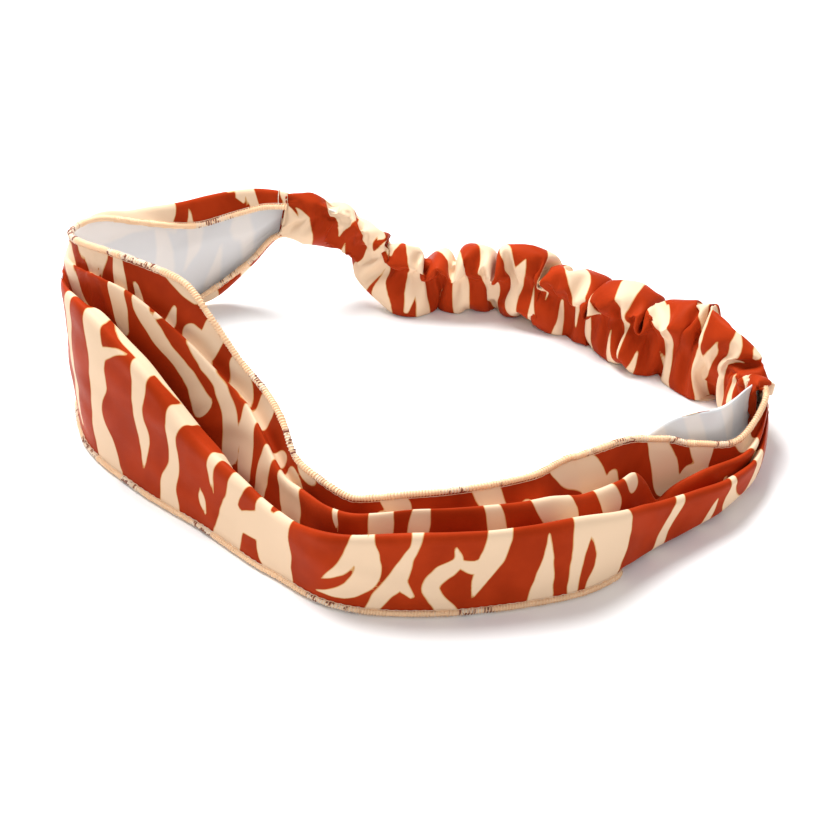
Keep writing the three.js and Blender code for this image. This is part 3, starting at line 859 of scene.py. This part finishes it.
def casing_before():
    """The casing as a narrow tube, small enough to grow to its gathered size, and its growth."""
    line, side, rise, size, s = casing_frames(CASING_RINGS)
    height, thick = size[:, :1], size[:, 1:]
    turn = np.linspace(0, 2 * np.pi, CASING_SIDES, endpoint=False)[None]
    from_end = np.minimum(s, s[-1] - s)[:, None]
    closed = 1 - ease(from_end, 1, MOUTH_LENGTH)
    full = GATHER_LOW + (GATHER - GATHER_LOW) * ease(np.sin(turn), -0.3, 0.3)
    growth = GATHER_SMOOTH + (full - GATHER_SMOOTH) * ease(s, *LOOSE_FROM)[:, None]
    growth = growth + closed * (GATHER_MOUTH - growth)
    hang = 1 + LOWER_HANG * (np.sin(turn) < 0) * (1 - closed)
    half_height = PLUMP * height * hang / (1 + growth)
    held = ELASTIC_THICK / 2 + HELD_ROOM + HELD_SHARE * thick * (1 - closed)
    half_thick = held + (PLUMP * thick / (1 + growth) - held) * np.abs(np.sin(2 * turn))
    mouth = 0.5 * thick * (MOUTH_SHUT + (1 - MOUTH_SHUT) * ease(from_end, 0, 1.4))
    half_thick = half_thick + closed * (mouth - half_thick)
    half_height = half_height + closed * (0.5 * height - half_height)
    noise = Noise(77)
    upper = np.where(np.sin(turn) > 0, 0, 40)
    pucker = np.where(np.sin(turn) > 0, PUCKER_ABOVE, PUCKER_BELOW)
    field = noise(s[:, None] / pucker + upper, np.cos(turn) * 0.5 + 9)
    ridges = PUCKER_DEPTH * field * np.abs(np.sin(turn))
    out = ridges * (1 - closed)
    crease = CREASE_RISE * (1 - closed) * np.clip(np.cos(turn), 0, 1) ** 2
    points = (
        line[:, None]
        + ((half_thick + out) * np.cos(turn))[..., None] * side[:, None]
        + ((half_height + out) * np.sin(turn) + crease)[..., None] * rise[:, None]
    )
    return points, s, growth


def gathered(points, growth):
    """Lets the tube of cloth grow in both directions while the two lines along the elastic and its
    two ends stay where they are, so that it buckles into puckers. The step runs at a larger scale."""
    rings, sides = points.shape[:2]
    cloth = grid_object("casing_simulation", points * SIMULATION_SCALE, [], wrap=True)
    index = np.arange(rings * sides).reshape(rings, sides)
    held = np.unique(np.concatenate([index[:, 0], index[:, sides // 2], index[0], index[-1]]))
    cloth.vertex_groups.new(name="held").add(held.tolist(), 1.0, "REPLACE")
    smooth = cloth.vertex_groups.new(name="smooth")
    share = (GATHER - growth) / (GATHER - GATHER_MOUTH)
    for vertex, weight in enumerate(share.ravel().tolist()):
        smooth.add([vertex], weight, "REPLACE")
    modifier = cloth.modifiers.new("cloth", "CLOTH")
    settings = modifier.settings
    settings.quality = 5
    settings.mass = 0.3
    settings.tension_stiffness = settings.compression_stiffness = 15
    settings.shear_stiffness = 5
    settings.bending_stiffness = 15
    settings.vertex_group_mass = "held"
    settings.vertex_group_shrink = "smooth"
    settings.shrink_min = -GATHER
    settings.shrink_max = -GATHER_MOUTH
    settings.use_pressure = True
    settings.uniform_pressure_force = 2
    settings.effector_weights.gravity = 0
    modifier.collision_settings.use_collision = False
    modifier.collision_settings.use_self_collision = False
    for step in range(1, SIMULATION_STEPS + 1):
        bpy.context.scene.frame_set(step)
    depsgraph = bpy.context.evaluated_depsgraph_get()
    result = cloth.evaluated_get(depsgraph).data
    places = np.zeros(3 * rings * sides)
    result.vertices.foreach_get("co", places)
    bpy.data.objects.remove(cloth)
    bpy.context.scene.frame_set(1)
    return softened((places.reshape(rings, sides, 3) / MM - ORIGIN) / SIMULATION_SCALE)


def softened(points):
    """Smooths the small crinkles of a tube's grid of points; its ends stay."""
    for _ in range(CASING_PASSES):
        around = (np.roll(points, 1, axis=1) + np.roll(points, -1, axis=1)) / 2
        along = (points[:-2] + points[2:]) / 2
        points = np.concatenate([points[:1], points[1:-1] / 2 + (around[1:-1] + along) / 4, points[-1:]])
    return points


def round_elastic(points):
    """Pushes the casing's cloth out of the space that the elastic fills."""
    line, side, rise, _, _ = casing_frames(len(points))
    turn = np.linspace(0, 2 * np.pi, points.shape[1], endpoint=False)[None]
    away = points - line[:, None]
    across = (away * side[:, None]).sum(axis=-1)
    up = (away * rise[:, None]).sum(axis=-1)
    near_edge = np.abs(np.cos(turn)) <= 0.3
    reach_across = ELASTIC_THICK / 2 + ROOM_BESIDE
    reach_up = ELASTIC_WIDTH / 2 + ROOM_OVER
    face = np.sign(np.cos(turn))
    beside = ~near_edge & (np.abs(up) < reach_up)
    push = np.clip(reach_across - across * face, 0, None) * face * beside
    top = np.sign(np.sin(turn))
    over = near_edge & (np.abs(across) < reach_across)
    lift = np.clip(reach_up - up * top, 0, None) * top * over
    return points + push[..., None] * side[:, None] + lift[..., None] * rise[:, None]


def refined(points, count):
    """The tube's grid with count times as many points each way, on smooth curves."""
    rings, sides = points.shape[:2]
    points = through(points, np.linspace(0, rings - 1, count * (rings - 1) + 1))
    looped = np.moveaxis(np.concatenate([points[:, -2:], points, points[:, :3]], axis=1), 1, 0)
    places = 2 + np.arange(count * sides) / count
    return np.moveaxis(through(looped, places), 0, 1)


def casing(right_side):
    before, s, growth = casing_before()
    points = round_elastic(gathered(before, growth))
    fine = round_elastic(refined(points, 2))
    fine[..., 2] = np.maximum(fine[..., 2], CLOTH)
    length = np.cumsum(1 + growth.mean(axis=1)) * (s[1] - s[0])
    u = np.interp(np.linspace(0, 1, len(fine)), np.linspace(0, 1, len(length)), length)[:, None]
    v = np.linspace(0, CASING_CUT[0], fine.shape[1], endpoint=False)[None]
    u, v = np.broadcast_arrays(u, v)
    strokes = random_strokes(CASING_SEED, u.max(), 0, CASING_CUT[0], CASING_HALVES, CASING_LEANS)
    field = print_field(u, v, strokes)
    fine = np.roll(fine, fine.shape[1] // 2, axis=1)
    tube = grid_object(
        "elastic_casing_cloth", fine, [right_side],
        wrap=True, uv=(u, v), fields={"print": field},
    )
    thicken(tube, two_sided=False)
    return tube, points


def casing_seam(points, material, cloth):
    """The seam down the casing's outer side: its allowance inside, and its stitches in the crease."""
    _, side, rise, _, s = casing_frames(CASING_RINGS)
    crease = points[2:-2, CASING_SIDES // 2]
    stitches = running_stitch("casing_seam_stitches", crease, -side[2:-2], THREAD_RADIUS, material)
    across = np.linspace(0.6, SEAM_DEPTH, 5)
    start = points[:, CASING_SIDES // 2 + 1][:, None]
    lean = 0.35 * side - 0.94 * rise
    allowance = start + across[None, :, None] * lean[:, None]
    u, v = np.meshgrid(s, across, indexing="ij")
    field = print_field(u, v, random_strokes(CASING_SEED, s[-1], 0, 5))
    strip = grid_object(
        "casing_seam_allowance", allowance, [cloth, cloth],
        uv=(u, v), fields={"print": field},
    )
    thicken(strip)
    return stitches, strip


def elastic_strip(material):
    """The flat braided elastic that runs through the casing from join to join."""
    line, side, rise, _, s = casing_frames(CASING_RINGS)
    turn = np.linspace(0, 2 * np.pi, 24, endpoint=False)
    boxy = 0.4  # the power that makes the round section a flat one with rounded corners
    flat = np.sign(np.cos(turn)) * np.abs(np.cos(turn)) ** boxy * ELASTIC_THICK / 2
    tall = np.sign(np.sin(turn)) * np.abs(np.sin(turn)) ** boxy * ELASTIC_WIDTH / 2
    inner = slice(4, -4)
    points = (
        line[inner, None]
        + flat[None, :, None] * side[inner, None]
        + tall[None, :, None] * rise[inner, None]
    )
    for end in (0, -1):
        middle = points[end].mean(axis=0)
        points[end] = middle + TIP * (points[end] - middle)
    u, v = np.meshgrid(s[inner], tall, indexing="ij")
    return grid_object("elastic_tape", points, [material], wrap=True, uv=(u, v))


def join_stitching(name, points, column, material):
    """The stitches across one end of the panel, through it and the end of the casing inside it."""
    line = points[column, TURN_ROW:]
    outward = normals_of(points)[column, TURN_ROW:]
    return running_stitch(name, line, outward, THREAD_RADIUS, material)


# ---- stage

def stage():
    bpy.ops.mesh.primitive_plane_add(size=3.0, location=(0, 0, 0))
    floor = bpy.context.object
    floor.name = "floor"
    floor.data.materials.append(floor_material())


def area_light(name, place, target, size, power):
    light = bpy.data.lights.new(name, "AREA")
    light.shape = "DISK"
    light.size = size
    light.energy = power
    obj = bpy.data.objects.new(name, light)
    obj.location = place
    obj.rotation_euler = (Vector(target) - Vector(place)).to_track_quat("-Z", "Y").to_euler()
    bpy.context.scene.collection.objects.link(obj)


def lights():
    """A bright room, a large soft light above and behind, and a weak one in front."""
    world = bpy.data.worlds.new("studio")
    world.use_nodes = True
    background = world.node_tree.nodes["Background"]
    set_inputs(background, {"Color": (1, 1, 1, 1), "Strength": 0.55})
    bpy.context.scene.world = world
    area_light("soft_box_top", (-0.25, 0.35, 0.9), (0, 0, 0), 0.6, 17)
    area_light("soft_box_front", (0.5, -0.9, 0.7), (0, 0, 0.02), 0.6, 1.4)
    bpy.context.scene.view_settings.view_transform = "Standard"


def camera():
    """Looks along +Y and down at the middle of the loop."""
    distance = 600.0
    elevation = math.radians(35)
    data = bpy.data.cameras.new("camera")
    data.sensor_width = 36
    data.lens = 90
    obj = bpy.data.objects.new("camera", data)
    place = np.array([0, -distance * math.cos(elevation), distance * math.sin(elevation)]) + ORIGIN
    obj.location = Vector(place * MM)
    obj.rotation_euler = (math.pi / 2 - elevation, 0, 0)
    bpy.context.scene.collection.objects.link(obj)
    bpy.context.scene.camera = obj


# ---- assembly

def on_body(piece, body, node):
    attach(piece, body)
    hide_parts(node)


def across_joint(piece, node):
    """Bakes the transform of a piece of the elastic side into its mesh and hides the part that it stands
    for.
    """
    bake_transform(piece)
    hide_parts(node)


def main():
    camera()
    stage()
    lights()
    right_side = satin_right_side()
    wrong_side = satin_wrong_side()
    overlock = overlock_material()
    sewing_thread = sewing_thread_material()

    panel, points, field = front_panel(right_side, wrong_side)
    on_body(panel, "band", "front_panel")
    for node, row in (("lower_hem", 0), ("upper_hem", -1)):
        roll, thread = hem(node, points[:, row], field[:, row], overlock)
        needle = needle_line(node + "_needle_line", points, row == -1, sewing_thread)
        for piece in (roll, thread, needle):
            on_body(piece, "band", node)

    tube, rings = casing(right_side)
    across_joint(tube, "elastic_casing")
    for piece in casing_seam(rings, sewing_thread, right_side):
        across_joint(piece, "casing_seam")
    across_joint(elastic_strip(elastic_material()), "elastic_strip")
    for node, column in (("left_join_stitching", JOIN_COLUMN), ("right_join_stitching", -JOIN_COLUMN)):
        stitches = join_stitching(node + "_thread", points, column, sewing_thread)
        on_body(stitches, "band", node)


main()
